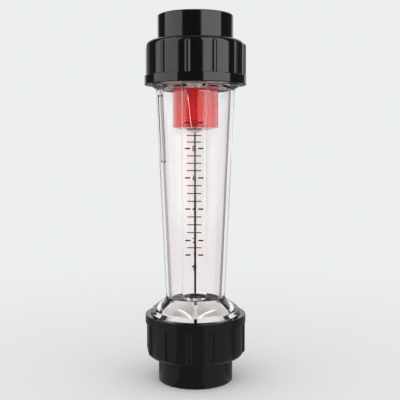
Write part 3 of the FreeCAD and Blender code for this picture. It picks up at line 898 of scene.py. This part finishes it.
# %% [markdown]
# ## The float
# The float is two red cups, welded rim to rim round a steel weight. Slanted flutes down its side
# catch the flow and spin it, which keeps it off the wall. Each cup could be carved, but it is
# really moulded round an axis, so it is turned like the tube. A square bar set on its edge then
# cuts each flute: two flat flanks that meet in a sharp valley, which glint as the float turns.

# %% Sizes of the float, in millimetres
seam_corner = Vector(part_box("float_lower_half")[1]) / MM
bush_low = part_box("float_lower_bush")[0][2] / MM
FLOAT_RADIUS = round(seam_corner.x, 1)
SEAM_LEVEL = seam_corner.z
FLOAT_HEIGHT = 41.6             # rim to rim
FLOAT_WALL = 2.6
FLOAT_EDGE = 0.4                # radius of the outer edge
SEAM_CHAMFER = 0.12             # where the cups meet
SLEEVE = (4.05, 6.45)           # bore and outside of the sleeve round the rod
BUSH_SEAT = (13.05, 1.5)        # radius and depth of the seat for the bush
BUSH_TIP_RADIUS = 2.5
FLUTE_COUNT = 4
FLUTE_WIDTH = 3.6
FLUTE_DEPTH = 1.3
FLUTE_OVERRUN = 0.1             # of the cup's height, by which the cutter passes each end
FLUTE_TWIST = math.radians(7.0)     # lead over one cup
# Angle from the front at which each cup's first flute meets the seam.
FLUTE_CLOCKS = {"lower": math.radians(-13.6), "upper": math.radians(-14.6)}
float_base = SEAM_LEVEL - FLOAT_HEIGHT / 2
end_rate = (float_base - bush_low) / (FLOAT_RADIUS - BUSH_TIP_RADIUS)
bush_edge = float_base - (FLOAT_RADIUS - BUSH_SEAT[0]) * end_rate
bush_seat = bush_edge + BUSH_SEAT[1]
float_floor = bush_seat + FLOAT_WALL
print("float:", 2 * FLOAT_RADIUS, "mm across and", FLOAT_HEIGHT, "mm high")


# %% Turn the cups and cut the flutes
def flute_bar(clock):
    """Square bar on its edge, slanted along one flute of the lower cup."""
    half_height = FLOAT_HEIGHT / 2
    track = FLOAT_RADIUS - FLUTE_DEPTH + FLUTE_WIDTH / 2
    ends = []
    for step in (-FLUTE_OVERRUN, 1.0 + FLUTE_OVERRUN):
        turn = clock - math.pi / 2 + FLUTE_TWIST * step
        ends.append(Vector((track * math.cos(turn), track * math.sin(turn),
                            SEAM_LEVEL - half_height * step)))
    run = ends[0] - ends[1]
    deselect()
    bpy.ops.mesh.primitive_cylinder_add(vertices=4, radius=FLUTE_WIDTH / 2 * MM,
                                        depth=run.length * MM)
    bar = bpy.context.object
    inwards = -(ends[0] + ends[1]) / 2
    inwards.z = 0.0
    side = run.cross(inwards).normalized()
    across = side.cross(run).normalized()
    axes_of_bar = Matrix((across, side, run.normalized())).transposed().to_4x4()
    bar.data.transform(Matrix.Translation((ends[0] + ends[1]) / 2 * MM) @ axes_of_bar)
    return bar


def float_cup(name, clock):
    """One cup of the float, drawn as the lower one."""
    cavity = FLOAT_RADIUS - FLOAT_WALL
    cup = turned(name, [
        (SLEEVE[0], bush_seat),
        (BUSH_SEAT[0], bush_seat),
        (BUSH_SEAT[0], bush_edge),
        (FLOAT_RADIUS, float_base, FLOAT_EDGE),
        (FLOAT_RADIUS, SEAM_LEVEL - SEAM_CHAMFER),
        (FLOAT_RADIUS - SEAM_CHAMFER, SEAM_LEVEL),
        (cavity, SEAM_LEVEL),
        (cavity, float_floor),
        (SLEEVE[1], float_floor),
        (SLEEVE[1], SEAM_LEVEL),
        (SLEEVE[0], SEAM_LEVEL),
    ])
    for flute in range(FLUTE_COUNT):
        cut(cup, flute_bar(clock + flute * 2.0 * math.pi / FLUTE_COUNT))
    return cup


lower_cup = float_cup("float_lower_cup", FLUTE_CLOCKS["lower"])
upper_cup = float_cup("float_upper_cup", math.pi - FLUTE_CLOCKS["upper"])
turn_over(upper_cup, SEAM_LEVEL)
for cup, half in ((lower_cup, "float_lower_half"), (upper_cup, "float_upper_half")):
    finish_piece(cup, "float", "red_abs")
    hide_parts(half)
print("float cups:", len(lower_cup.data.polygons), "faces each")

# %% [markdown]
# ## The scale
# The scale is screen printed in dark red. A number stands at each long mark, between two dashes,
# and thin marks stand for the halves between them. The steps shrink towards the top, because
# the ring of space round the float grows a little faster than the height. Each mark is a thin
# plate of ink with rounded ends, laid on the slanted strip.

# %% Where the readings stand, in millimetres
SCALE_LEVELS = {1: 131.2, 2: 145.5, 4: 176.2, 6: 206.3, 8: 234.4, 10: 259.0}
READING_STEP = 0.5
THIN_MARK = (14.0, 0.95)        # width and height
DASH = (5.2, 1.4)
DASH_OFFSET = 6.25              # middle of the strip to a dash's middle
DIGIT_HEIGHT = 5.4
INK_LIFT = 0.02                 # keeps the ink just off the acrylic
INK_THICKNESS = 0.05
INK_CORNER = 0.35               # round ends of a mark, as a share of its smaller side
INK_CREASE = math.radians(30.0)
DIGIT_WEIGHT = 0.012            # thickens the numerals, as a share of the letters' size
print("readings from", min(SCALE_LEVELS), "to", max(SCALE_LEVELS))


# %% Draw one mark or one number
def reading_level(reading):
    """Height of a reading, between the numbered ones on either side."""
    numbered = sorted(SCALE_LEVELS)
    for low, high in zip(numbered, numbered[1:]):
        if reading <= high:
            share = (reading - low) / (high - low)
            return SCALE_LEVELS[low] + share * (SCALE_LEVELS[high] - SCALE_LEVELS[low])


def ink_mark(width, height, across, level):
    """Flat mark with rounded ends, drawn upright at its place."""
    deselect()
    bpy.ops.mesh.primitive_plane_add(size=1.0)
    mark = bpy.context.object
    mark.scale = (width * MM, height * MM, 1.0)
    settle()
    bpy.ops.object.mode_set(mode="EDIT")
    bpy.ops.mesh.select_all(action="SELECT")
    bpy.ops.mesh.bevel(offset=min(width, height) * INK_CORNER * MM, segments=3,
                       affect="VERTICES")
    bpy.ops.object.mode_set(mode="OBJECT")
    mark.data.transform(Matrix.Translation((across * MM, 0.0, level * MM))
                        @ Matrix.Rotation(math.pi / 2, 4, "X"))
    return mark


def ink_number(body, height, across, level):
    """Numeral drawn upright at its place, its middle on the level."""
    deselect()
    bpy.ops.object.text_add()
    text = bpy.context.object
    text.data.body = str(body)
    text.data.align_x = "CENTER"
    text.data.resolution_u = 6
    text.data.offset = DIGIT_WEIGHT
    bpy.ops.object.convert(target="MESH")
    number = bpy.context.object
    low = min(vertex.co.y for vertex in number.data.vertices)
    high = max(vertex.co.y for vertex in number.data.vertices)
    size = height * MM / (high - low)
    number.data.transform(Matrix.Translation((across * MM, 0.0, level * MM))
                          @ Matrix.Rotation(math.pi / 2, 4, "X") @ Matrix.Scale(size, 4)
                          @ Matrix.Translation((0.0, -(low + high) / 2, 0.0)))
    return number


print("a reading of 5 stands at", round(reading_level(5.0), 1), "mm")

# %% Draw the marks and the numbers
ink = []
halves = round((max(SCALE_LEVELS) - min(SCALE_LEVELS)) / READING_STEP)
for half in range(halves + 1):
    reading = min(SCALE_LEVELS) + half * READING_STEP
    level = reading_level(reading)
    if reading in SCALE_LEVELS:
        ink.append(ink_number(int(reading), DIGIT_HEIGHT, 0.0, level))
        ink += [ink_mark(*DASH, side * DASH_OFFSET, level) for side in (-1, 1)]
    else:
        ink.append(ink_mark(*THIN_MARK, 0.0, level))
print("ink marks:", len(ink))

# %% Add a flow arrow under the scale
ARROW_LEVEL = 119.0
ARROW_WIDTH = 6.0
ARROW_HEAD = 3.0
ARROW_STEM = (1.8, 3.6)         # width and height
deselect()
bpy.ops.mesh.primitive_circle_add(vertices=3, radius=1.0, fill_type="NGON")
arrow_head = bpy.context.object
corners = ((-ARROW_WIDTH / 2, ARROW_LEVEL), (ARROW_WIDTH / 2, ARROW_LEVEL),
           (0.0, ARROW_LEVEL + ARROW_HEAD))
for vertex, (across, level) in zip(arrow_head.data.vertices, corners):
    vertex.co = (across * MM, 0.0, level * MM)
bpy.ops.object.mode_set(mode="EDIT")
close_up()
ink += [arrow_head, ink_mark(*ARROW_STEM, 0.0, ARROW_LEVEL - ARROW_STEM[1] / 2)]
print("arrow", ARROW_HEAD + ARROW_STEM[1], "mm high")


# %% Lay the ink on the strip
def join(pieces, name):
    """One piece out of several."""
    deselect()
    for piece in pieces:
        piece.select_set(True)
    bpy.context.view_layer.objects.active = pieces[0]
    bpy.ops.object.join()
    joined = bpy.context.object
    joined.name = name
    return joined


def thicken(piece, thickness):
    """Give a flat drawing its thickness outwards."""
    wall = piece.modifiers.new("thickness", "SOLIDIFY")
    wall.thickness = thickness * MM
    wall.offset = 1.0
    bpy.context.view_layer.objects.active = piece
    bpy.ops.object.modifier_apply(modifier=wall.name)


scale_print = join(ink, "scale_print")
for vertex in scale_print.data.vertices:
    vertex.co.y = -(flat_depth(vertex.co.z / MM) + INK_LIFT) * MM
thicken(scale_print, INK_THICKNESS)
finish_piece(scale_print, "tube", "screen_printed_maroon", crease=INK_CREASE)
print("scale print:", len(scale_print.data.polygons), "faces")

# %% [markdown]
# A thin black line of painted shade runs down each side of the bare panel, where its sunk edges
# look dark, with a dot at both ends. The lines are drawn flat and then wrapped: the distance
# across becomes an angle round the wall.

# %% Paint shade along the panel's edges
FRAME_LINE = 1.1
FRAME_INSET = 0.6
DOT_WIDTH = 3.8
DOT_HEIGHT = 1.9
DOT_INSET = (DOT_WIDTH - FRAME_LINE) / 2
low_line = PANEL_LOW + FRAME_INSET
high_line = PANEL_LOW + PANEL_HEIGHT - FRAME_INSET
side_line = PANEL_WIDTH / 2 - FRAME_INSET
lines = []
for side in (-1, 1):
    lines.append(ink_mark(FRAME_LINE, high_line - low_line, side * side_line,
                          (low_line + high_line) / 2))
    lines += [ink_mark(DOT_WIDTH, DOT_HEIGHT, side * (side_line - DOT_INSET), end)
              for end in (low_line + DOT_HEIGHT / 2, high_line - DOT_HEIGHT / 2)]
# The lines and dots are painted shade along the sunk panel's edges.
panel_edge_shade = join(lines, "panel_edge_shade")
for vertex in panel_edge_shade.data.vertices:
    level = vertex.co.z / MM
    radius = (wall_radius(level) - PANEL_DEPTH + INK_LIFT) * MM
    turn = PANEL_AZIMUTH + vertex.co.x / radius - math.pi / 2
    vertex.co = (radius * math.cos(turn), radius * math.sin(turn), vertex.co.z)
thicken(panel_edge_shade, INK_THICKNESS)
finish_piece(panel_edge_shade, "tube", "painted_edge_shade_black", crease=INK_CREASE)
print("panel frame:", len(panel_edge_shade.data.polygons), "faces")

# %% [markdown]
# ## Render settings
# The colours are shown as they are, with no film look on top. Light passes many walls of clear
# plastic on its way, so it gets more bounces than the default.

# %% Finish
scene = bpy.context.scene
scene.view_settings.view_transform = "Standard"
scene.cycles.max_bounces = 32
scene.cycles.transmission_bounces = 32
scene.cycles.glossy_bounces = 16
